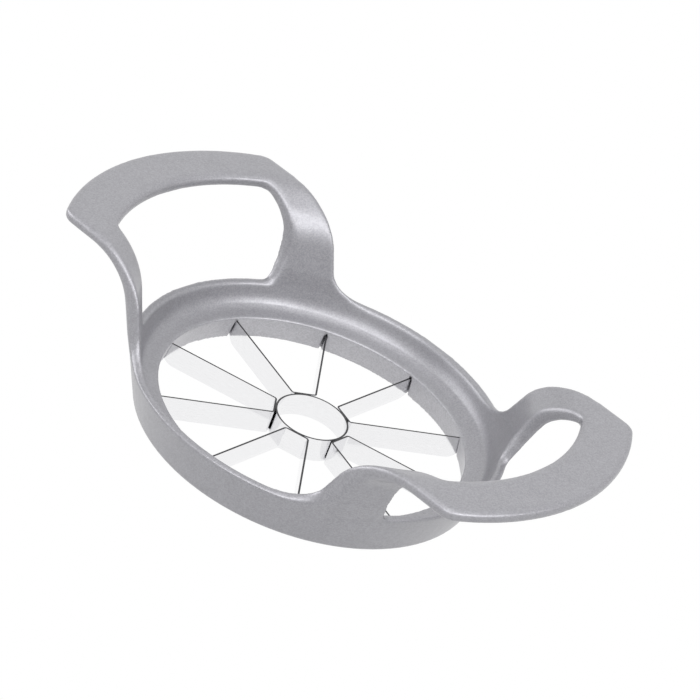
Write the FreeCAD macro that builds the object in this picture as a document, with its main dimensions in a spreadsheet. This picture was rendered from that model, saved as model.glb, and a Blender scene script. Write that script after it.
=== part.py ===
import FreeCAD, Part
import math
import os
import Sketcher

# Hand press that cores an apple and cuts it into ten wedges.
# One die-cast frame holds ten steel blades, bent as five pairs round a thin core ring.
# The blades' lower edges stand on Z = 0, the handles lie along X and the cut is along Z.

doc = FreeCAD.newDocument("apple_wedger")
sheet = doc.addObject("Spreadsheet::Sheet", "sizes")

# Driving sizes in millimetres, with angles in degrees.
SIZES = [
    ("overall_length", 190.0, "end to end over the two grips"),
    ("opening_radius", 51.7, "inner wall of the ring, where the apple passes"),
    ("foot_wall", 4.5, "wall of the ring at its foot"),
    ("wall_flare", 19.5, "lean of the outer wall from upright"),
    ("base_lift", 1.2, "foot of the casting above the blades' lower edges"),
    ("ledge_height", 8.4, "sharp inner edge at the top of the inner wall"),
    ("cove_radius", 8.4, "hollow of the rim above the ledge"),
    ("rim_height", 17.7, "top of the rim"),
    ("rim_wall", 3.0, "wall at the top of the rim, measured level"),
    ("grip_height", 46.4, "top face of the grips"),
    ("grip_thickness", 3.9, "plate of the grips"),
    ("bend_radius", 18.7, "bend of the arms from the wall into the grips, top face"),
    ("arm_outer_half", 47.5, "outer side of each arm from the middle line"),
    ("arm_root", 7.0, "hollow where an arm's outer side rises out of the rim"),
    ("window_half", 36.3, "inner side of each arm from the middle line, where it is upright"),
    ("window_upright", 38.0, "height above which the arms' inner sides are upright"),
    ("window_bow", 42.0, "bow of the arms' inner sides below that, towards the rim"),
    ("window_corner", 2.5, "low corners of the finger hole, at the rim"),
    ("grip_outer_radius", 81.0, "bow of the grip's outer edge, in plan"),
    ("grip_width", 16.2, "grip at the middle line, in plan"),
    ("grip_inner_radius", 67.4, "bow of the finger hole's outer edge, in plan"),
    ("outer_corner", 5.0, "corner of the handle, in plan"),
    ("inner_corner", 4.0, "corner of the finger hole, in plan"),
    ("foot_bevel", 0.6, "broken outer edge round the foot of the casting"),
    ("blade_height", 8.0, "depth of the blades and the core ring"),
    ("blade_gauge", 0.6, "thickness of the blade strip"),
    ("blade_count", 10.0, "wedges that the apple is cut into"),
    ("bend_inner", 0.6, "inside radius where a strip is bent"),
    ("shoulder_drop", 1.9, "slanting shoulder on a blade's end, down from its top edge"),
    ("shoulder_run", 2.4, "the same shoulder, along the blade from its end"),
    ("seat_depth", 1.8, "blade end held inside the inner wall"),
    ("seat_gap", 0.05, "play on each side of a blade in its seat"),
    ("tip_corner", 1.5, "rounded lower corner of a blade's end"),
    ("edge_bevel", 1.6, "height of the ground cutting edge"),
    ("edge_land", 0.2, "steel left at the cutting edge"),
    ("core_radius", 12.0, "outside of the core ring"),
    ("core_gauge", 0.6, "wall of the core ring"),
    ("weld_flat", 0.05, "flat pressed into the core ring under each strip"),
]
for row, (alias, number, note) in enumerate(SIZES, start=1):
    sheet.set("A%d" % row, note)
    sheet.set("B%d" % row, str(number))
    sheet.setAlias("B%d" % row, alias)
doc.recompute()


def size(alias):
    return float(getattr(sheet, alias))


def foot_radius():
    return size("opening_radius") + size("foot_wall")


def plane(body, role):
    for feature in body.Origin.OriginFeatures:
        if feature.Role == role:
            return feature


def new_sketch(body, name, role):
    sketch = body.newObject("Sketcher::SketchObject", name)
    sketch.AttachmentSupport = (plane(body, role), [""])
    sketch.MapMode = "FlatFace"
    return sketch


def bind(sketch, constraint, expression):
    index = sketch.addConstraint(constraint)
    sketch.setExpression("Constraints[%d]" % index, expression)


def join(sketch, first, second):
    sketch.addConstraint(Sketcher.Constraint("Coincident", first, 2, second, 1))


def blend(sketch, first, first_end, second, second_end):
    sketch.addConstraint(Sketcher.Constraint("Tangent", first, first_end, second, second_end))


def line(sketch, start, end):
    start = FreeCAD.Vector(start[0], start[1], 0)
    end = FreeCAD.Vector(end[0], end[1], 0)
    return sketch.addGeometry(Part.LineSegment(start, end), False)


def arc(sketch, centre, radius, start_angle, end_angle):
    circle = Part.Circle(FreeCAD.Vector(centre[0], centre[1], 0), FreeCAD.Vector(0, 0, 1), radius)
    return sketch.addGeometry(Part.ArcOfCircle(circle, start_angle, end_angle), False)


def polar(centre, radius, angle):
    return (centre[0] + radius * math.cos(angle), centre[1] + radius * math.sin(angle))


def pattern_round_z(body, feature, sketch, count):
    pattern = body.newObject("PartDesign::PolarPattern", feature.Name + "_all_round")
    pattern.Originals = [feature]
    pattern.Axis = (sketch, ["N_Axis"])
    pattern.Angle = 360
    pattern.Occurrences = count
    body.Tip = pattern
    return pattern


# Section of the casting, turned about Z: inner wall, hollow rim, leaning outer wall,
# and the plate that bends outwards at the top, from which both handles are cut.
def frame_section(body):
    flare = math.radians(size("wall_flare"))
    lift = size("base_lift")
    bend = size("bend_radius")
    low_bend = bend - size("grip_thickness")
    top = size("grip_height")
    reach = size("overall_length") / 2 + size("rim_wall")
    centre_z = top - bend
    wall_at_centre = foot_radius() + (centre_z - lift) * math.tan(flare)
    centre = (wall_at_centre + low_bend / math.cos(flare), centre_z)
    outer_touch = polar(centre, low_bend, math.pi - flare)

    rim_z = size("rim_height")
    rim_outer = foot_radius() + (rim_z - lift) * math.tan(flare)
    rim_inner = rim_outer - size("rim_wall")
    across = centre[0] - rim_inner
    up = centre[1] - rim_z
    slope = math.atan2(up, across) + math.asin(bend / math.hypot(across, up))
    lean = math.pi / 2 - slope
    inner_touch = polar(centre, bend, math.pi - lean)

    cove = size("cove_radius")
    opening = size("opening_radius")
    ledge = size("ledge_height")
    # The cove's centre lies one radius from the leaning inner face and from the ledge.
    cove_z = ledge + cove
    for step in range(30):
        cove_x = rim_inner + (cove_z - rim_z) * math.tan(lean) - cove / math.cos(lean)
        cove_z = ledge + math.sqrt(cove ** 2 - (opening - cove_x) ** 2)
    cove_centre = (cove_x, cove_z)
    cove_touch = polar(cove_centre, cove, -lean)
    ledge_angle = math.atan2(ledge - cove_z, opening - cove_x)

    sketch = new_sketch(body, "frame_profile", "XZ_Plane")
    foot = line(sketch, (opening, lift), (foot_radius(), lift))
    outer = line(sketch, (foot_radius(), lift), outer_touch)
    low_arc = arc(sketch, centre, low_bend, math.pi / 2, math.pi - flare)
    under = line(sketch, (centre[0], top - size("grip_thickness")), (reach, top - size("grip_thickness")))
    end = line(sketch, (reach, top - size("grip_thickness")), (reach, top))
    upper = line(sketch, (reach, top), (centre[0], top))
    top_arc = arc(sketch, centre, bend, math.pi / 2, math.pi - lean)
    inner = line(sketch, inner_touch, cove_touch)
    hollow = arc(sketch, cove_centre, cove, ledge_angle, -lean)
    wall = line(sketch, (opening, ledge), (opening, lift))

    join(sketch, foot, outer)
    blend(sketch, outer, 2, low_arc, 2)
    blend(sketch, low_arc, 1, under, 1)
    join(sketch, under, end)
    join(sketch, end, upper)
    blend(sketch, upper, 2, top_arc, 1)
    blend(sketch, top_arc, 2, inner, 1)
    blend(sketch, inner, 2, hollow, 2)
    sketch.addConstraint(Sketcher.Constraint("Coincident", hollow, 1, wall, 1))
    join(sketch, wall, foot)
    sketch.addConstraint(Sketcher.Constraint("Coincident", low_arc, 3, top_arc, 3))
    for level in (foot, under, upper):
        sketch.addConstraint(Sketcher.Constraint("Horizontal", level))
    for upright in (end, wall):
        sketch.addConstraint(Sketcher.Constraint("Vertical", upright))
    bind(sketch, Sketcher.Constraint("DistanceX", -1, 1, foot, 1, opening), "sizes.opening_radius")
    bind(sketch, Sketcher.Constraint("DistanceY", -1, 1, foot, 1, lift), "sizes.base_lift")
    bind(sketch, Sketcher.Constraint("DistanceX", -1, 1, foot, 2, foot_radius()),
         "sizes.opening_radius + sizes.foot_wall")
    bind(sketch, Sketcher.Constraint("Angle", outer, math.pi / 2 - flare),
         "90 deg - sizes.wall_flare * 1 deg")
    bind(sketch, Sketcher.Constraint("DistanceY", -1, 1, upper, 2, top), "sizes.grip_height")
    bind(sketch, Sketcher.Constraint("DistanceX", -1, 1, upper, 1, reach),
         "sizes.overall_length / 2 + sizes.rim_wall")
    bind(sketch, Sketcher.Constraint("DistanceY", end, 1, end, 2, size("grip_thickness")),
         "sizes.grip_thickness")
    bind(sketch, Sketcher.Constraint("Radius", top_arc, bend), "sizes.bend_radius")
    bind(sketch, Sketcher.Constraint("Radius", hollow, cove), "sizes.cove_radius")
    bind(sketch, Sketcher.Constraint("DistanceY", -1, 1, wall, 1, ledge), "sizes.ledge_height")

    # Two marks at the rim's height set how thick the wall is there.
    marks = []
    for x, on_line in ((rim_inner, inner), (rim_outer, outer)):
        mark = sketch.addGeometry(Part.Point(FreeCAD.Vector(x, rim_z, 0)), True)
        sketch.addConstraint(Sketcher.Constraint("PointOnObject", mark, 1, on_line))
        bind(sketch, Sketcher.Constraint("DistanceY", -1, 1, mark, 1, rim_z), "sizes.rim_height")
        marks.append(mark)
    bind(sketch, Sketcher.Constraint("DistanceX", marks[0], 1, marks[1], 1, size("rim_wall")),
         "sizes.rim_wall")
    return sketch


# Sides of the arms as seen along X. What lies outside them, above the rim, is waste:
# one piece of it on each side, with a hollow corner where the arm rises out of the rim.
def arm_sides_sketch(body):
    half = size("arm_outer_half")
    root = size("arm_root")
    floor = size("rim_height")
    far = size("overall_length") / 2 + 2 * size("rim_wall")
    top = 2 * size("grip_height")
    sketch = new_sketch(body, "arm_sides", "YZ_Plane")
    for side in (1, -1):
        centre = (side * (half + root), floor + root)
        if side > 0:
            hollow = arc(sketch, centre, root, math.pi, 1.5 * math.pi)
        else:
            hollow = arc(sketch, centre, root, 1.5 * math.pi, 2 * math.pi)
        above, below = (1, 2) if side > 0 else (2, 1)
        level = line(sketch, (side * (half + root), floor), (side * far, floor))
        rise = line(sketch, (side * far, floor), (side * far, top))
        back = line(sketch, (side * far, top), (side * half, top))
        down = line(sketch, (side * half, top), (side * half, floor + root))
        blend(sketch, hollow, below, level, 1)
        join(sketch, level, rise)
        join(sketch, rise, back)
        join(sketch, back, down)
        blend(sketch, down, 2, hollow, above)
        for flat in (level, back):
            sketch.addConstraint(Sketcher.Constraint("Horizontal", flat))
        for upright in (rise, down):
            sketch.addConstraint(Sketcher.Constraint("Vertical", upright))
        bind(sketch, Sketcher.Constraint("Radius", hollow, root), "sizes.arm_root")
        bind(sketch, Sketcher.Constraint("DistanceY", -1, 1, level, 1, floor), "sizes.rim_height")
        bind(sketch, Sketcher.Constraint("DistanceY", -1, 1, back, 1, top), "2 * sizes.grip_height")
        along_x(sketch, side, down, 1, half, "sizes.arm_outer_half")
        along_x(sketch, side, rise, 1, far, "sizes.overall_length / 2 + 2 * sizes.rim_wall")
    return sketch


# Lower part of the finger holes, also seen along X: the arms' inner sides bow in towards the rim.
def window_sketch(body):
    half = size("window_half")
    bow = size("window_bow")
    corner = size("window_corner")
    floor = size("rim_height")
    top = size("window_upright")
    bow_x = half - bow
    corner_z = floor + corner
    corner_x = bow_x + math.sqrt((bow - corner) ** 2 - (top - corner_z) ** 2)
    turn = math.atan2(top - corner_z, corner_x - bow_x)
    sketch = new_sketch(body, "window_sides", "YZ_Plane")
    level = line(sketch, (-corner_x, floor), (corner_x, floor))
    over = line(sketch, (half, top), (-half, top))
    for side in (1, -1):
        if side > 0:
            low = arc(sketch, (corner_x, corner_z), corner, 1.5 * math.pi, 2 * math.pi - turn)
            tall = arc(sketch, (bow_x, top), bow, -turn, 0)
            blend(sketch, level, 2, low, 1)
            blend(sketch, low, 2, tall, 1)
            sketch.addConstraint(Sketcher.Constraint("Coincident", tall, 2, over, 1))
            sketch.addConstraint(Sketcher.Constraint("Horizontal", tall, 3, tall, 2))
        else:
            low = arc(sketch, (-corner_x, corner_z), corner, math.pi + turn, 1.5 * math.pi)
            tall = arc(sketch, (-bow_x, top), bow, math.pi, math.pi + turn)
            blend(sketch, level, 1, low, 2)
            blend(sketch, low, 1, tall, 2)
            sketch.addConstraint(Sketcher.Constraint("Coincident", tall, 1, over, 2))
            sketch.addConstraint(Sketcher.Constraint("Horizontal", tall, 3, tall, 1))
        bind(sketch, Sketcher.Constraint("Radius", low, corner), "sizes.window_corner")
        bind(sketch, Sketcher.Constraint("Radius", tall, bow), "sizes.window_bow")
    for flat in (level, over):
        sketch.addConstraint(Sketcher.Constraint("Horizontal", flat))
    bind(sketch, Sketcher.Constraint("DistanceY", -1, 1, level, 1, floor), "sizes.rim_height")
    bind(sketch, Sketcher.Constraint("DistanceY", -1, 1, over, 1, top), "sizes.window_upright")
    along_x(sketch, 1, over, 1, half, "sizes.window_half")
    along_x(sketch, -1, over, 2, half, "sizes.window_half")
    return sketch


def along_x(sketch, side, element, point, distance, expression):
    ends = (-1, 1, element, point) if side > 0 else (element, point, -1, 1)
    bind(sketch, Sketcher.Constraint("DistanceX", *ends, distance), expression)


# Bowed end of a handle or of a finger hole, in plan, with a round corner at each side.
# side is +1 for the handle at +X and -1 for the other one.
def bowed_end(sketch, side, tip, half, bow, corner, words):
    tip_words, half_words, bow_words, corner_words = words
    centre = tip - bow
    turn = math.asin((half - corner) / (bow - corner))
    corner_x, corner_y = polar((centre, 0), bow - corner, turn)
    if side > 0:
        end = arc(sketch, (centre, 0), bow, -turn, turn)
        high = arc(sketch, (corner_x, corner_y), corner, turn, math.pi / 2)
        low = arc(sketch, (corner_x, -corner_y), corner, -math.pi / 2, -turn)
    else:
        end = arc(sketch, (-centre, 0), bow, math.pi - turn, math.pi + turn)
        high = arc(sketch, (-corner_x, corner_y), corner, math.pi / 2, math.pi - turn)
        low = arc(sketch, (-corner_x, -corner_y), corner, math.pi + turn, 1.5 * math.pi)
    near, far = (2, 1) if side > 0 else (1, 2)
    blend(sketch, end, near, high, far)
    blend(sketch, end, far, low, near)
    sketch.addConstraint(Sketcher.Constraint("PointOnObject", end, 3, -1))
    sketch.addConstraint(Sketcher.Constraint("Equal", high, low))
    sketch.addConstraint(Sketcher.Constraint("Vertical", high, 3, high, near))
    sketch.addConstraint(Sketcher.Constraint("Vertical", low, 3, low, far))
    bind(sketch, Sketcher.Constraint("Radius", end, bow), bow_words)
    bind(sketch, Sketcher.Constraint("Radius", high, corner), corner_words)
    bind(sketch, Sketcher.Constraint("DistanceY", -1, 1, high, near, half), half_words)
    bind(sketch, Sketcher.Constraint("DistanceY", low, far, -1, 1, half), half_words)
    along_x(sketch, side, end, 3, centre, "%s - (%s)" % (tip_words, bow_words))
    return high, near, low, far, corner_x


# Chain of straight, upright and level lines from the end of one arc to the end of another.
def close_with(sketch, first, first_end, corners, last, last_end):
    lines = []
    for start, stop in zip(corners, corners[1:]):
        edge = line(sketch, start, stop)
        upright = abs(start[0] - stop[0]) < 1e-9
        sketch.addConstraint(Sketcher.Constraint("Vertical" if upright else "Horizontal", edge))
        if lines:
            join(sketch, lines[-1], edge)
        lines.append(edge)
    sketch.addConstraint(Sketcher.Constraint("Coincident", first, first_end, lines[0], 1))
    sketch.addConstraint(Sketcher.Constraint("Coincident", lines[-1], 2, last, last_end))
    return lines


def grip_ends_sketch(body):
    half = size("arm_outer_half")
    tip = size("overall_length") / 2
    far = tip + 2 * size("rim_wall")
    sketch = new_sketch(body, "grip_ends", "XY_Plane")
    sketch.setExpression("AttachmentOffset.Base.z", "sizes.rim_height")
    words = ("sizes.overall_length / 2", "sizes.arm_outer_half",
             "sizes.grip_outer_radius", "sizes.outer_corner")
    for side in (1, -1):
        high, near, low, low_end, touch = bowed_end(
            sketch, side, tip, half, size("grip_outer_radius"), size("outer_corner"), words)
        corners = [(side * touch, half), (side * touch, tip), (side * far, tip),
                   (side * far, -tip), (side * touch, -tip), (side * touch, -half)]
        lines = close_with(sketch, high, near, corners, low, low_end)
        bind(sketch, Sketcher.Constraint("DistanceY", -1, 1, lines[0], 2, tip), "sizes.overall_length / 2")
        bind(sketch, Sketcher.Constraint("DistanceY", lines[3], 1, -1, 1, tip), "sizes.overall_length / 2")
        along_x(sketch, side, lines[2], 1, far, "sizes.overall_length / 2 + 2 * sizes.rim_wall")
    return sketch


# Upper part of each finger hole, in plan. It is closed inside the ring's opening.
def holes_sketch(body):
    half = size("window_half")
    tip = size("overall_length") / 2 - size("grip_width")
    inside = half / 2
    sketch = new_sketch(body, "finger_holes", "XY_Plane")
    sketch.setExpression("AttachmentOffset.Base.z", "sizes.window_upright")
    words = ("sizes.overall_length / 2 - sizes.grip_width", "sizes.window_half",
             "sizes.grip_inner_radius", "sizes.inner_corner")
    for side in (1, -1):
        high, near, low, low_end, touch = bowed_end(
            sketch, side, tip, half, size("grip_inner_radius"), size("inner_corner"), words)
        corners = [(side * touch, half), (side * inside, half),
                   (side * inside, -half), (side * touch, -half)]
        lines = close_with(sketch, high, near, corners, low, low_end)
        along_x(sketch, side, lines[1], 1, inside, "sizes.window_half / 2")
    return sketch


def cut_up(body, name, sketch, expression):
    return cut(body, name, sketch, "One side", expression)


def cut_along(body, name, sketch):
    return cut(body, name, sketch, "Symmetric", "2 * sizes.overall_length")


def cut(body, name, sketch, sides, expression):
    before = body.Tip.Shape.Volume
    pocket = body.newObject("PartDesign::Pocket", name)
    pocket.Profile = sketch
    pocket.SideType = sides
    pocket.Reversed = True
    pocket.setExpression("Length", expression)
    doc.recompute()
    if pocket.Shape.Volume >= before:
        raise RuntimeError(name + " cuts nothing")
    return pocket


# Outer edge of the casting's foot.
def foot_edge(shape):
    for number, edge in enumerate(shape.Edges, start=1):
        if edge.BoundBox.ZMax > size("base_lift") + 1e-6:
            continue
        if edge.Curve.TypeId == "Part::GeomCircle" and edge.Curve.Radius > size("opening_radius") + 1e-6:
            return ["Edge%d" % number]
    raise RuntimeError("the foot has no outer edge")


def round_edges(body, name, names, expression):
    base = body.Tip
    fillet = body.newObject("PartDesign::Fillet", name)
    fillet.Base = (base, names)
    fillet.setExpression("Radius", expression)
    body.Tip = fillet
    doc.recompute()
    return fillet


# One aluminium casting: the ring with its hollow rim, and the two looped handles.
def make_frame():
    body = doc.addObject("PartDesign::Body", "frame_casting")
    body.Label = "frame_casting"
    turned = body.newObject("PartDesign::Revolution", "turned_section")
    turned.Profile = frame_section(body)
    turned.ReferenceAxis = (turned.Profile[0], ["V_Axis"])
    turned.Angle = 360
    doc.recompute()
    cut_along(body, "trim_arm_sides", arm_sides_sketch(body))
    cut_up(body, "trim_grip_ends", grip_ends_sketch(body), "sizes.grip_height")
    cut_along(body, "cut_windows", window_sketch(body))
    cut_up(body, "cut_finger_holes", holes_sketch(body), "sizes.grip_height")
    base = body.Tip
    chamfer = body.newObject("PartDesign::Chamfer", "broken_foot_edge")
    chamfer.Base = (base, foot_edge(base.Shape))
    chamfer.setExpression("Size", "sizes.foot_bevel")
    body.Tip = chamfer
    doc.recompute()

    # A seat for each blade's end, open below, is cut into the inner wall.
    seat = new_sketch(body, "blade_seat", "XY_Plane")
    seat.setExpression("AttachmentOffset.Rotation.Angle", "180 deg / sizes.blade_count")
    half = size("blade_gauge") / 2 + size("seat_gap")
    near = size("opening_radius") - size("seat_depth")
    far = size("opening_radius") + size("seat_depth")
    corners = [(near, -half), (far, -half), (far, half), (near, half)]
    sides = []
    for index, corner in enumerate(corners):
        sides.append(line(seat, corner, corners[(index + 1) % 4]))
    for index, side in enumerate(sides):
        join(seat, side, sides[(index + 1) % 4])
        seat.addConstraint(Sketcher.Constraint("Horizontal" if index % 2 == 0 else "Vertical", side))
    bind(seat, Sketcher.Constraint("DistanceX", -1, 1, sides[0], 1, near),
         "sizes.opening_radius - sizes.seat_depth")
    bind(seat, Sketcher.Constraint("DistanceX", -1, 1, sides[0], 2, far),
         "sizes.opening_radius + sizes.seat_depth")
    bind(seat, Sketcher.Constraint("DistanceY", sides[0], 1, -1, 1, half),
         "sizes.blade_gauge / 2 + sizes.seat_gap")
    bind(seat, Sketcher.Constraint("DistanceY", -1, 1, sides[2], 1, half),
         "sizes.blade_gauge / 2 + sizes.seat_gap")
    cut = cut_up(body, "cut_seat", seat, "sizes.blade_height")
    pattern_round_z(body, cut, seat, int(size("blade_count")))
    doc.recompute()
    return body


def upright_edges(shape, x):
    names = []
    for index, edge in enumerate(shape.Edges, start=1):
        box = edge.BoundBox
        upright = box.XLength < 1e-6 and box.ZLength > size("blade_height") / 2
        if upright and abs(box.XMin - x) < 1e-4:
            names.append("Edge%d" % index)
    return names


# One strip bent into a U in plan: two radial blades and the short flat between them,
# which is spot welded to the core ring. The strip's middle faces +X before it is turned.
def make_blade_pair(number, angle):
    name = "blade_pair_%d" % number
    body = doc.addObject("PartDesign::Body", name)
    body.Label = name
    half_gauge = size("blade_gauge") / 2
    spread = math.pi / size("blade_count")
    back = size("core_radius") - size("weld_flat")
    front = back + size("blade_gauge")
    end = size("opening_radius") + size("seat_depth")

    def on_blade(x, offset):
        return (x, x * math.tan(spread) + offset / math.cos(spread))

    def at_end(offset):
        return (end * math.cos(spread) - offset * math.sin(spread),
                end * math.sin(spread) + offset * math.cos(spread))

    upper = [on_blade(back, half_gauge), at_end(half_gauge), at_end(-half_gauge),
             on_blade(front, -half_gauge)]
    lower = [(x, -y) for x, y in reversed(upper)]
    corners = upper + lower
    sketch = new_sketch(body, name + "_plan", "XY_Plane")
    sides = []
    for index, corner in enumerate(corners):
        sides.append(line(sketch, corner, corners[(index + 1) % len(corners)]))
    for index, side in enumerate(sides):
        join(sketch, side, sides[(index + 1) % len(sides)])
    outer, tip, inner, flat_front, inner_low, tip_low, outer_low, flat_back = sides
    for first, second in ((outer, outer_low), (inner, inner_low)):
        for start, stop in ((1, 2), (2, 1)):
            sketch.addConstraint(Sketcher.Constraint("Symmetric", first, start, second, stop, -1))
    bind(sketch, Sketcher.Constraint("DistanceX", -1, 1, flat_back, 1, back),
         "sizes.core_radius - sizes.weld_flat")
    bind(sketch, Sketcher.Constraint("DistanceX", -1, 1, flat_front, 1, front),
         "sizes.core_radius - sizes.weld_flat + sizes.blade_gauge")
    sketch.addConstraint(Sketcher.Constraint("Parallel", outer, inner))
    sketch.addConstraint(Sketcher.Constraint("Perpendicular", tip, inner))
    bind(sketch, Sketcher.Constraint("Distance", inner, 1, outer, size("blade_gauge")), "sizes.blade_gauge")
    bind(sketch, Sketcher.Constraint("Distance", -1, 1, outer, half_gauge), "sizes.blade_gauge / 2")
    bind(sketch, Sketcher.Constraint("Distance", -1, 1, tip, end), "sizes.opening_radius + sizes.seat_depth")
    bind(sketch, Sketcher.Constraint("Angle", outer, spread), "180 deg / sizes.blade_count")
    pad = body.newObject("PartDesign::Pad", name + "_strip")
    pad.Profile = sketch
    pad.setExpression("Length", "sizes.blade_height")
    doc.recompute()

    outer_bends = upright_edges(pad.Shape, back)
    round_edges(body, name + "_outer_bends", outer_bends, "sizes.bend_inner + sizes.blade_gauge")
    inner_bends = upright_edges(body.Tip.Shape, front)
    round_edges(body, name + "_inner_bends", inner_bends, "sizes.bend_inner")
    doc.recompute()

    bevel_edge(body, name, front)
    trim_ends(body, name, end)
    turn = FreeCAD.Rotation(FreeCAD.Vector(0, 0, 1), angle)
    body.Placement = FreeCAD.Placement(FreeCAD.Vector(0, 0, 0), turn)
    return body


# The lower edge is ground from the wedge side, so that the strip cuts down to the board.
def bevel_edge(body, name, front):
    shape = body.Tip.Shape
    names = []
    for index, edge in enumerate(shape.Edges, start=1):
        if edge.BoundBox.ZMax > 1e-6:
            continue
        middle = edge.valueAt((edge.FirstParameter + edge.LastParameter) / 2)
        offset = abs(middle.y) * math.cos(math.pi / size("blade_count"))
        offset -= middle.x * math.sin(math.pi / size("blade_count"))
        wedge_side = middle.x > front - 1e-4 and offset < -size("blade_gauge") / 4
        if wedge_side and edge.Length > size("blade_gauge") / 2 + 1e-3:
            names.append("Edge%d" % index)
    base = body.Tip
    chamfer = body.newObject("PartDesign::Chamfer", name + "_cutting_edge")
    chamfer.Base = (base, names)
    chamfer.ChamferType = "Two distances"
    chamfer.setExpression("Size", "sizes.blade_gauge - sizes.edge_land")
    chamfer.setExpression("Size2", "sizes.edge_bevel")
    body.Tip = chamfer
    doc.recompute()


# Each blade's end has a slanting shoulder above and a round corner below, both cut by turning.
def trim_ends(body, name, end):
    top = size("blade_height")
    drop = size("shoulder_drop")
    run = size("shoulder_run")
    sketch = new_sketch(body, name + "_shoulder", "XZ_Plane")
    corners = [(end - run, top), (end + run, top - 2 * drop), (end + run, top)]
    sides = []
    for index, corner in enumerate(corners):
        sides.append(line(sketch, corner, corners[(index + 1) % 3]))
    for index, side in enumerate(sides):
        join(sketch, side, sides[(index + 1) % 3])
    sketch.addConstraint(Sketcher.Constraint("Vertical", sides[1]))
    sketch.addConstraint(Sketcher.Constraint("Horizontal", sides[2]))
    bind(sketch, Sketcher.Constraint("DistanceX", -1, 1, sides[0], 1, end - run),
         "sizes.opening_radius + sizes.seat_depth - sizes.shoulder_run")
    bind(sketch, Sketcher.Constraint("DistanceX", -1, 1, sides[0], 2, end + run),
         "sizes.opening_radius + sizes.seat_depth + sizes.shoulder_run")
    bind(sketch, Sketcher.Constraint("DistanceY", -1, 1, sides[0], 1, top), "sizes.blade_height")
    bind(sketch, Sketcher.Constraint("DistanceY", -1, 1, sides[0], 2, top - 2 * drop),
         "sizes.blade_height - 2 * sizes.shoulder_drop")
    turn_away(body, name + "_shoulders", sketch)

    # The round corner runs out just past the end, so that no sliver is left beside it.
    corner = size("tip_corner")
    reach = end + size("seat_gap")
    sketch = new_sketch(body, name + "_low_corner", "XZ_Plane")
    bow = arc(sketch, (reach - corner, corner), corner, -math.pi / 2, 0)
    down = line(sketch, (reach, corner), (reach, 0))
    back = line(sketch, (reach, 0), (reach - corner, 0))
    blend(sketch, bow, 2, down, 1)
    join(sketch, down, back)
    blend(sketch, back, 2, bow, 1)
    sketch.addConstraint(Sketcher.Constraint("Vertical", down))
    sketch.addConstraint(Sketcher.Constraint("PointOnObject", down, 2, -1))
    bind(sketch, Sketcher.Constraint("Radius", bow, corner), "sizes.tip_corner")
    bind(sketch, Sketcher.Constraint("DistanceX", -1, 1, down, 2, reach),
         "sizes.opening_radius + sizes.seat_depth + sizes.seat_gap")
    turn_away(body, name + "_low_corners", sketch)


def turn_away(body, name, sketch):
    before = body.Tip.Shape.Volume
    groove = body.newObject("PartDesign::Groove", name)
    groove.Profile = sketch
    groove.ReferenceAxis = (sketch, ["V_Axis"])
    groove.Angle = 360
    body.Tip = groove
    doc.recompute()
    if groove.Shape.Volume >= before:
        raise RuntimeError(name + " cuts nothing")


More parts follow.
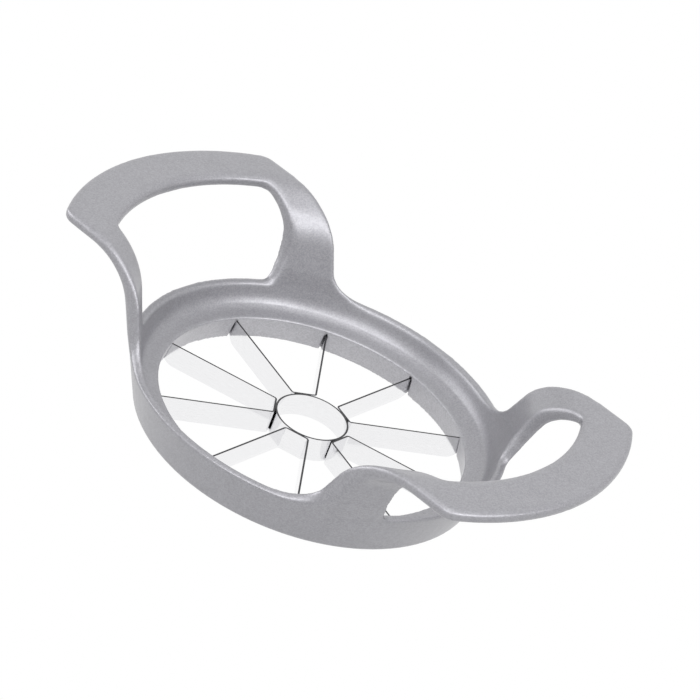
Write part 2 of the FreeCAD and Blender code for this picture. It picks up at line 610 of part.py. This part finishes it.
# A closed band of the same strip steel, with a pressed flat where each blade pair is welded to it.
def make_core_ring():
    body = doc.addObject("PartDesign::Body", "core_ring")
    body.Label = "core_ring"
    radius = size("core_radius")
    sketch = new_sketch(body, "core_circles", "XY_Plane")
    for circle_radius, expression in ((radius, "sizes.core_radius"),
                                      (radius - size("core_gauge"), "sizes.core_radius - sizes.core_gauge")):
        circle = sketch.addGeometry(
            Part.Circle(FreeCAD.Vector(0, 0, 0), FreeCAD.Vector(0, 0, 1), circle_radius), False)
        sketch.addConstraint(Sketcher.Constraint("Coincident", circle, 3, -1, 1))
        bind(sketch, Sketcher.Constraint("Radius", circle, circle_radius), expression)
    pad = body.newObject("PartDesign::Pad", "core_band")
    pad.Profile = sketch
    pad.setExpression("Length", "sizes.blade_height")
    doc.recompute()

    flat = new_sketch(body, "weld_flat", "XY_Plane")
    near = radius - size("weld_flat")
    far = radius + size("core_gauge")
    width = radius / 2
    corners = [(near, -width), (far, -width), (far, width), (near, width)]
    sides = []
    for index, corner in enumerate(corners):
        sides.append(line(flat, corner, corners[(index + 1) % 4]))
    for index, side in enumerate(sides):
        join(flat, side, sides[(index + 1) % 4])
        flat.addConstraint(Sketcher.Constraint("Horizontal" if index % 2 == 0 else "Vertical", side))
    bind(flat, Sketcher.Constraint("DistanceX", -1, 1, sides[0], 1, near),
         "sizes.core_radius - sizes.weld_flat")
    bind(flat, Sketcher.Constraint("DistanceX", -1, 1, sides[0], 2, far),
         "sizes.core_radius + sizes.core_gauge")
    bind(flat, Sketcher.Constraint("DistanceY", sides[0], 1, -1, 1, width), "sizes.core_radius / 2")
    bind(flat, Sketcher.Constraint("DistanceY", -1, 1, sides[2], 1, width), "sizes.core_radius / 2")
    press = cut_up(body, "press_flat", flat, "sizes.blade_height")
    pattern_round_z(body, press, flat, int(size("blade_count") / 2))
    doc.recompute()

    # The lower edge is ground from inside, so that the core stays in one piece.
    inner = radius - size("core_gauge")
    land = radius - size("edge_land")
    bevel = size("edge_bevel")
    ground = new_sketch(body, "core_bevel", "XZ_Plane")
    corners = [(inner, 0), (land, 0), (inner, bevel)]
    sides = []
    for index, corner in enumerate(corners):
        sides.append(line(ground, corner, corners[(index + 1) % 3]))
    for index, side in enumerate(sides):
        join(ground, side, sides[(index + 1) % 3])
    ground.addConstraint(Sketcher.Constraint("PointOnObject", sides[0], 1, -1))
    ground.addConstraint(Sketcher.Constraint("PointOnObject", sides[0], 2, -1))
    ground.addConstraint(Sketcher.Constraint("Vertical", sides[2]))
    bind(ground, Sketcher.Constraint("DistanceX", -1, 1, sides[0], 1, inner),
         "sizes.core_radius - sizes.core_gauge")
    bind(ground, Sketcher.Constraint("DistanceX", -1, 1, sides[0], 2, land),
         "sizes.core_radius - sizes.edge_land")
    bind(ground, Sketcher.Constraint("DistanceY", -1, 1, sides[1], 2, bevel), "sizes.edge_bevel")
    turn_away(body, "grind_core_edge", ground)
    return body


sub_parts = [make_frame(), make_core_ring()]
pair_count = int(size("blade_count") / 2)
for pair in range(pair_count):
    sub_parts.append(make_blade_pair(pair + 1, 360.0 * pair / pair_count))
doc.recompute()

for item in doc.Objects:
    if "Invalid" in item.State or "Error" in item.State:
        raise RuntimeError("%s did not build: %s" % (item.Label, item.State))
os.makedirs("parts", exist_ok=True)
for body in sub_parts:
    if body.Shape.isNull() or not body.Shape.isValid():
        raise RuntimeError(body.Label + " has no valid shape")
    body.Shape.exportStep("parts/%s.step" % body.Label)
    box = body.Shape.BoundBox
    print("%-14s volume %9.1f  X %.2f %.2f  Y %.2f %.2f  Z %.2f %.2f" % (
        body.Label, body.Shape.Volume, box.XMin, box.XMax, box.YMin, box.YMax, box.ZMin, box.ZMax))
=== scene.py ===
import bmesh
import bpy
import math
import numpy
from mathutils import Matrix, Vector


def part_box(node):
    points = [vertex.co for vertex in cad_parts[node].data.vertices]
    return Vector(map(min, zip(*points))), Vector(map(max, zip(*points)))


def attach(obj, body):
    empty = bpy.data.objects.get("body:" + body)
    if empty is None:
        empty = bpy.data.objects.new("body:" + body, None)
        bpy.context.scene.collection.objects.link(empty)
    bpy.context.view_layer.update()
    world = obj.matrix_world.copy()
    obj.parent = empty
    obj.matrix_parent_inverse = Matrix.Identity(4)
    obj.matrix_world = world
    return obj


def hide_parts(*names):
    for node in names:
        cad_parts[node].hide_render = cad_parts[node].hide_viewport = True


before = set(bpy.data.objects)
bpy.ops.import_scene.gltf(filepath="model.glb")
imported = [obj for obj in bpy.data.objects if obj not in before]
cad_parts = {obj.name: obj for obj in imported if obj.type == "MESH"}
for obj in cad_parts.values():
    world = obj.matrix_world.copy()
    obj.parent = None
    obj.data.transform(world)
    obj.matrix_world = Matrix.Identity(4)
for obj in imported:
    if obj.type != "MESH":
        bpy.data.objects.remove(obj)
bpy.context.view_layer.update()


# Frame casting: the ring and both looped handles are one aluminium die casting.
# It is tumbled until its edges are soft, then blasted and powder coated in silver, so it is
# satin, faintly orange-peeled and full of fine flake.
def new_finish(name):
    finish = bpy.data.materials.new(name)
    finish.use_nodes = True
    return finish, finish.node_tree, finish.node_tree.nodes["Principled BSDF"]


def noise(tree, place, scale, detail):
    pattern = tree.nodes.new("ShaderNodeTexNoise")
    pattern.inputs["Scale"].default_value = scale
    pattern.inputs["Detail"].default_value = detail
    tree.links.new(place, pattern.inputs["Vector"])
    return pattern.outputs["Fac"]


def graded(tree, value, low, high, at_low, at_high):
    grade = tree.nodes.new("ShaderNodeMapRange")
    grade.inputs["From Min"].default_value = low
    grade.inputs["From Max"].default_value = high
    grade.inputs["To Min"].default_value = at_low
    grade.inputs["To Max"].default_value = at_high
    tree.links.new(value, grade.inputs["Value"])
    return grade.outputs["Result"]


def between_tones(tree, value, dark, light):
    tones = tree.nodes.new("ShaderNodeValToRGB")
    tones.color_ramp.elements[0].color = dark
    tones.color_ramp.elements[1].color = light
    tree.links.new(value, tones.inputs["Fac"])
    return tones.outputs["Color"]


def combined(tree, operation, first, second):
    result = tree.nodes.new("ShaderNodeMath")
    result.operation = operation
    tree.links.new(first, result.inputs[0])
    tree.links.new(second, result.inputs[1])
    return result.outputs["Value"]


def silver_powder_coat():
    coat, tree, shader = new_finish("silver_powder_coat")
    shader.inputs["Metallic"].default_value = 0.7
    shader.inputs["Coat Weight"].default_value = 0.5
    shader.inputs["Coat Roughness"].default_value = 0.28
    place = tree.nodes.new("ShaderNodeTexCoord").outputs["Object"]

    # Flakes lie at different tilts: each cell is a little lighter or darker than the next.
    flake = tree.nodes.new("ShaderNodeTexVoronoi")
    flake.inputs["Scale"].default_value = 2600
    tree.links.new(place, flake.inputs["Vector"])
    flake_tone = between_tones(tree, flake.outputs["Color"],
                               dark=(0.250, 0.248, 0.266, 1), light=(0.350, 0.347, 0.372, 1))

    # The coat is thicker in some places, which shows as broad, weak clouds.
    cloud = noise(tree, place, scale=90, detail=3)
    clouded = tree.nodes.new("ShaderNodeMix")
    clouded.data_type = "RGBA"
    clouded.blend_type = "MULTIPLY"
    clouded.inputs["Factor"].default_value = 1
    tree.links.new(flake_tone, clouded.inputs["A"])
    tree.links.new(graded(tree, cloud, 0, 1, 0.95, 1.05), clouded.inputs["B"])

    # The wall below the ledge, which the fruit slides down, is painted a little brighter:
    # painted light for the lamps' light that reaches it through the ring's opening.
    wall_front, wall_back = 0.0522, 0.0528
    ledge_under, ledge_over = 0.0090, 0.0098
    where = tree.nodes.new("ShaderNodeSeparateXYZ")
    in_plan = tree.nodes.new("ShaderNodeCombineXYZ")
    radius = tree.nodes.new("ShaderNodeVectorMath")
    radius.operation = "LENGTH"
    tree.links.new(place, where.inputs["Vector"])
    tree.links.new(where.outputs["X"], in_plan.inputs["X"])
    tree.links.new(where.outputs["Y"], in_plan.inputs["Y"])
    tree.links.new(in_plan.outputs["Vector"], radius.inputs["Vector"])
    inside = graded(tree, radius.outputs["Value"], wall_front, wall_back, 1, 0)
    below = graded(tree, where.outputs["Z"], ledge_under, ledge_over, 1, 0)
    # Painted light: the colour of the inner wall below the ledge is made 1.4 times brighter.
    painted_wall_light = tree.nodes.new("ShaderNodeMix")
    painted_wall_light.data_type = "RGBA"
    painted_wall_light.blend_type = "MULTIPLY"
    painted_wall_light.inputs["B"].default_value = (1.4, 1.4, 1.38, 1)
    tree.links.new(combined(tree, "MULTIPLY", inside, below), painted_wall_light.inputs["Factor"])
    tree.links.new(clouded.outputs["Result"], painted_wall_light.inputs["A"])
    tree.links.new(painted_wall_light.outputs["Result"], shader.inputs["Base Color"])

    # Between flakes the coat is rougher, and its skin is peeled like an orange's.
    sheen = graded(tree, flake.outputs["Distance"], 0, 1, 0.34, 0.48)
    tree.links.new(sheen, shader.inputs["Roughness"])
    peel = tree.nodes.new("ShaderNodeBump")
    peel.inputs["Strength"].default_value = 0.14
    peel.inputs["Distance"].default_value = 0.00006
    tree.links.new(noise(tree, place, scale=1500, detail=4), peel.inputs["Height"])
    tree.links.new(peel.outputs["Normal"], shader.inputs["Normal"])
    return coat


def into_scene(name, data):
    thing = bpy.data.objects.new(name, data)
    bpy.context.collection.objects.link(thing)
    return thing


def apply_modifiers(piece):
    made = piece.evaluated_get(bpy.context.evaluated_depsgraph_get())
    piece.data = bpy.data.meshes.new_from_object(made)
    piece.modifiers.clear()


def vertex_rows(mesh, kind):
    rows = numpy.empty(len(mesh.vertices) * 3)
    mesh.vertices.foreach_get(kind, rows)
    return rows.reshape(-1, 3)


# Each blade's slot is a little wider than the blade, and shows as a dark line beside it.
def slot_cutters():
    blade_count = 10
    blade_step = 360 / blade_count
    half_width, low, high = 0.00062, -0.001, 0.0069
    near, far = 0.0502, 0.0535
    points, faces = [], []
    for number in range(blade_count):
        turn = Matrix.Rotation(math.radians(blade_step / 2 + blade_step * number), 3, "Z")
        first = len(points)
        for z in (low, high):
            for x, y in ((near, -half_width), (far, -half_width),
                         (far, half_width), (near, half_width)):
                points.append(turn @ Vector((x, y, z)))
        faces += [[first + i for i in side] for side in (
            (3, 2, 1, 0), (4, 5, 6, 7), (0, 1, 5, 4), (1, 2, 6, 5), (2, 3, 7, 6), (3, 0, 4, 7))]
    mesh = bpy.data.meshes.new("slot_cutters")
    mesh.from_pydata(points, [], faces)
    return into_scene("slot_cutters", mesh)


weld_gap = 0.000001
soft_casting = into_scene("soft_edged_casting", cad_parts["frame_casting"].data.copy())
cutters = slot_cutters()
weld = soft_casting.modifiers.new("weld", "WELD")
weld.merge_threshold = weld_gap
slots = soft_casting.modifiers.new("slots", "BOOLEAN")
slots.object = cutters
slots.solver = "EXACT"
fine = soft_casting.modifiers.new("fine", "REMESH")
fine.mode = "VOXEL"
fine.voxel_size = 0.0004
apply_modifiers(soft_casting)
bpy.data.objects.remove(cutters)

# The tumbled edges: arms and grips are the roundest, the rim less so, ledge and foot hardly.
ledge_top, cove_foot, rim_crest, arm_foot = 0.0095, 0.0135, 0.0177, 0.0230
ledge_softness, rim_softness, arm_softness = 0.08, 0.5, 1
heights = vertex_rows(soft_casting.data, "co")[:, 2]
softness = numpy.interp(heights, (ledge_top, cove_foot, rim_crest, arm_foot),
                        (ledge_softness, rim_softness, rim_softness, arm_softness))
softness = numpy.round(softness, 2)
tumbled = soft_casting.vertex_groups.new(name="tumbled")
for share in numpy.unique(softness):
    tumbled.add(numpy.nonzero(softness == share)[0].tolist(), float(share), "REPLACE")
soften = soft_casting.modifiers.new("soften", "SMOOTH")
soften.factor = 0.5
soften.iterations = 90
soften.vertex_group = "tumbled"
apply_modifiers(soft_casting)
soft_casting.vertex_groups.clear()

# Rounding draws the outlines in, so the arms and grips are let out again in plan by as much,
# and hardly at the grips' tips, which already reach the end of the casting.
let_out, let_out_at_tip = 0.0003, 0.1
tip_starts, tip_ends = 0.085, 0.0945
places = vertex_rows(soft_casting.data, "co")
outward = vertex_rows(soft_casting.data, "normal")
outward[:, 2] = 0
let_out_here = let_out * numpy.interp(places[:, 2], (rim_crest, arm_foot), (0, 1))
let_out_here *= numpy.interp(numpy.abs(places[:, 0]), (tip_starts, tip_ends),
                             (1, let_out_at_tip))
places += outward * let_out_here[:, None]

# The ring's inner wall leans in towards its top, so that the wedges fall free, and ends in a
# raised, flat ledge.
foot_height, ledge_height = 0.0012, 0.0084
lean_in, lean_full, lean_ends = 0.0014, 0.0522, 0.0565
raise_by, ledge_inner, ledge_outer, ledge_crown = 0.0011, 0.0517, 0.0567, 1.2
from_centre = numpy.hypot(places[:, 0], places[:, 1])
up_wall = numpy.interp(places[:, 2], (foot_height, ledge_height), (0, 1))
fade = numpy.interp(from_centre, (lean_full, lean_ends), (1, 0))
lean = up_wall * fade * fade * (3 - 2 * fade)
across_ledge = numpy.interp(from_centre, (ledge_inner, ledge_outer), (0, 1))
lift = up_wall * (1 - across_ledge ** 2) ** ledge_crown
places[:, :2] -= places[:, :2] / from_centre[:, None] * lean[:, None] * lean_in
places[:, 2] += lift * raise_by
casting_low, casting_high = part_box("frame_casting")
places = numpy.clip(places, casting_low, casting_high)
soft_casting.data.vertices.foreach_set("co", places.ravel())
soft_casting.data.update()
soft_casting.data.shade_smooth()
soft_casting.data.materials.clear()
soft_casting.data.materials.append(silver_powder_coat())
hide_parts("frame_casting")
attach(soft_casting, "root")


# Blades: five strips of hard stainless steel, 0.6 mm thick and polished bright on both faces.
# Each is bent into a U, which makes two blades, and is spot welded by its middle to the core
# ring, with its two ends in slots in the casting.
def polished_strip(name, along):
    steel, tree, shader = new_finish(name)
    shader.inputs["Metallic"].default_value = 1

    # Fine rolling lines run along the strip: they are long one way and close together the other.
    place = tree.nodes.new("ShaderNodeTexCoord")
    stretch = tree.nodes.new("ShaderNodeMapping")
    stretch.inputs["Scale"].default_value = along
    tree.links.new(place.outputs["Object"], stretch.inputs["Vector"])
    lines = noise(tree, stretch.outputs["Vector"], scale=1, detail=3)
    bright = between_tones(tree, lines, dark=(0.80, 0.80, 0.81, 1), light=(0.96, 0.96, 0.97, 1))
    tree.links.new(graded(tree, lines, 0, 1, 0.06, 0.16), shader.inputs["Roughness"])

    # The faces are rolled bright. The sheared edges that look up are painted near black: painted
    # shade for the dark line along each top edge.
    side_slope, edge_slope = 0.6, 0.8
    facing = tree.nodes.new("ShaderNodeNewGeometry")
    split = tree.nodes.new("ShaderNodeSeparateXYZ")
    tree.links.new(facing.outputs["True Normal"], split.inputs["Vector"])
    # Painted shade: near black on the faces that look up.
    painted_edge_shade = tree.nodes.new("ShaderNodeMix")
    painted_edge_shade.data_type = "RGBA"
    painted_edge_shade.inputs["B"].default_value = (0.06, 0.06, 0.063, 1)
    tree.links.new(graded(tree, split.outputs["Z"], side_slope, edge_slope, 0, 1),
                   painted_edge_shade.inputs["Factor"])
    tree.links.new(bright, painted_edge_shade.inputs["A"])
    tree.links.new(painted_edge_shade.outputs["Result"], shader.inputs["Base Color"])
    return steel


# Each blade's lower outer corner is cropped to a wide round: this turned ring takes it off.
def corner_cropper():
    near, far, under, corner, steps, turns = 0.0479, 0.0545, -0.001, 0.0048, 10, 360
    outline = [(far, under), (near, under)]
    for step in range(steps + 1):
        angle = math.radians(90 * step / steps)
        outline.append((near + corner * math.sin(angle), corner - corner * math.cos(angle)))
    outline.append((far, corner))
    count = len(outline)
    points, faces = [], []
    for turn in range(turns):
        angle = 2 * math.pi * turn / turns
        here, there = turn * count, (turn + 1) % turns * count
        for i, (radius, z) in enumerate(outline):
            following = (i + 1) % count
            points.append((radius * math.cos(angle), radius * math.sin(angle), z))
            faces.append((here + i, there + i, there + following, here + following))
    mesh = bpy.data.meshes.new("corner_cropper")
    mesh.from_pydata(points, [], faces)
    form = bmesh.new()
    form.from_mesh(mesh)
    bmesh.ops.recalc_face_normals(form, faces=form.faces)
    form.to_mesh(mesh)
    form.free()
    return mesh


rolled_strip = polished_strip("rolled_strip", along=(500, 500, 9000))
cropper = into_scene("corner_cropper", corner_cropper())
for number in range(1, 6):
    node_name = "blade_pair_%d" % number
    strip = into_scene("cropped_" + node_name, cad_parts[node_name].data.copy())
    joined = strip.modifiers.new("joined", "WELD")
    joined.merge_threshold = weld_gap
    cropped = strip.modifiers.new("cropped", "BOOLEAN")
    cropped.object = cropper
    cropped.solver = "EXACT"
    apply_modifiers(strip)
    if "custom_normal" in strip.data.attributes:
        strip.data.attributes.remove(strip.data.attributes["custom_normal"])
    strip.data.shade_flat()
    strip.data.materials.clear()
    strip.data.materials.append(rolled_strip)
    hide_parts(node_name)
    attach(strip, "root")
bpy.data.objects.remove(cropper)


# Core ring: a closed band of the same stainless strip, rolled round and welded, which cuts out
# the core. The flats of all five blade strips are spot welded to its outside.
core_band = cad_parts["core_ring"]
core_band.data.materials.clear()
core_band.data.materials.append(polished_strip("core_band_steel", along=(500, 500, 7000)))


# Table: a plain white surface that the press stands on by its blades' lower edges.
# It isn't part of the object, and it shows as white to the camera and in the steel.
def white_where_seen(tree, lit, white, output):
    ray = tree.nodes.new("ShaderNodeLightPath")
    seen = combined(tree, "MAXIMUM", ray.outputs["Is Camera Ray"], ray.outputs["Is Glossy Ray"])
    choose = tree.nodes.new("ShaderNodeMixShader")
    tree.links.new(seen, choose.inputs["Fac"])
    tree.links.new(lit, choose.inputs[1])
    tree.links.new(white, choose.inputs[2])
    tree.links.new(choose.outputs["Shader"], tree.nodes[output].inputs["Surface"])


def white_table_top():
    table_white, tree, shader = new_finish("white_table_top")
    shader.inputs["Base Color"].default_value = (0.86, 0.86, 0.86, 1)
    shader.inputs["Roughness"].default_value = 0.9
    glow = tree.nodes.new("ShaderNodeEmission")
    glow.inputs["Strength"].default_value = 1
    white_where_seen(tree, shader.outputs["BSDF"], glow.outputs["Emission"], "Material Output")
    return table_white


table_half = 3.0
table_mesh = bpy.data.meshes.new("table_top")
table_mesh.from_pydata([(-table_half, -table_half, 0), (table_half, -table_half, 0),
                        (table_half, table_half, 0), (-table_half, table_half, 0)],
                       [], [(0, 1, 2, 3)])
table_top = into_scene("table_top", table_mesh)
table_top.data.materials.append(white_table_top())


# Studio: a white tent all round, which shows as white to the camera and in the metal.
# Soft lamps at the right, in front and overhead give the bends and the rim's hollow their
# broad bands, and a low one at the left draws the thin bright line along the rim's crest.
tent = bpy.data.worlds.new("white_tent")
bpy.context.scene.world = tent
tent.use_nodes = True
fill = tent.node_tree.nodes["Background"]
backdrop = tent.node_tree.nodes.new("ShaderNodeBackground")
for background, strength in ((fill, 0.5), (backdrop, 1)):
    background.inputs["Color"].default_value = (1, 1, 1, 1)
    background.inputs["Strength"].default_value = strength
white_where_seen(tent.node_tree, fill.outputs["Background"], backdrop.outputs["Background"],
                 "World Output")

lamps_aim = Vector((0, 0, 0.02))
for name, place, across, power in (
        ("right_softbox", (0.80, -0.05, 0.75), 0.8, 5),
        ("front_softbox", (0.22, -0.80, 0.90), 1.2, 8),
        ("left_softbox", (-0.85, -0.42, 0.16), 0.9, 4.5),
        ("back_softbox", (-0.42, 0.73, 0.70), 0.9, 0.2),
        ("overhead_softbox", (0, 0.15, 1.2), 0.8, 2)):
    lamp = bpy.data.lights.new(name, "AREA")
    lamp.shape = "DISK"
    lamp.size = across
    lamp.energy = power
    holder = into_scene(name, lamp)
    holder.location = place
    holder.rotation_euler = (lamps_aim - Vector(place)).to_track_quat("-Z", "Y").to_euler()

bpy.context.scene.view_settings.view_transform = "Standard"


# Camera: a long lens from above and in front, tipped so that the handles run from upper left
# to lower right. Its place was worked out from the blades, the round wall and the handles'
# edges in the photograph.
photo_azimuth = math.radians(29.555)
photo_elevation = math.radians(30.582)
photo_tip = math.radians(21.568)
photo_distance = 0.8669
photo_aim = Vector((-0.02025, 0.04243, 0.008))
focal_pixels, picture_pixels = 2640.9, 700

towards_camera = Vector((math.sin(photo_azimuth) * math.cos(photo_elevation),
                         -math.cos(photo_azimuth) * math.cos(photo_elevation),
                         math.sin(photo_elevation)))
level_right = (-towards_camera).cross(Vector((0, 0, 1))).normalized()
level_up = level_right.cross(-towards_camera)
picture_right = math.cos(photo_tip) * level_right + math.sin(photo_tip) * level_up
picture_up = math.cos(photo_tip) * level_up - math.sin(photo_tip) * level_right
lens = bpy.data.cameras.new("product_camera")
lens.sensor_width = 36
lens.sensor_fit = "HORIZONTAL"
lens.lens = focal_pixels / picture_pixels * lens.sensor_width
lens.clip_start = 0.05
product_camera = into_scene("product_camera", lens)
turned = Matrix((picture_right, picture_up, towards_camera)).transposed().to_4x4()
stood = Matrix.Translation(photo_aim + towards_camera * photo_distance)
product_camera.matrix_world = stood @ turned
bpy.context.scene.camera = product_camera
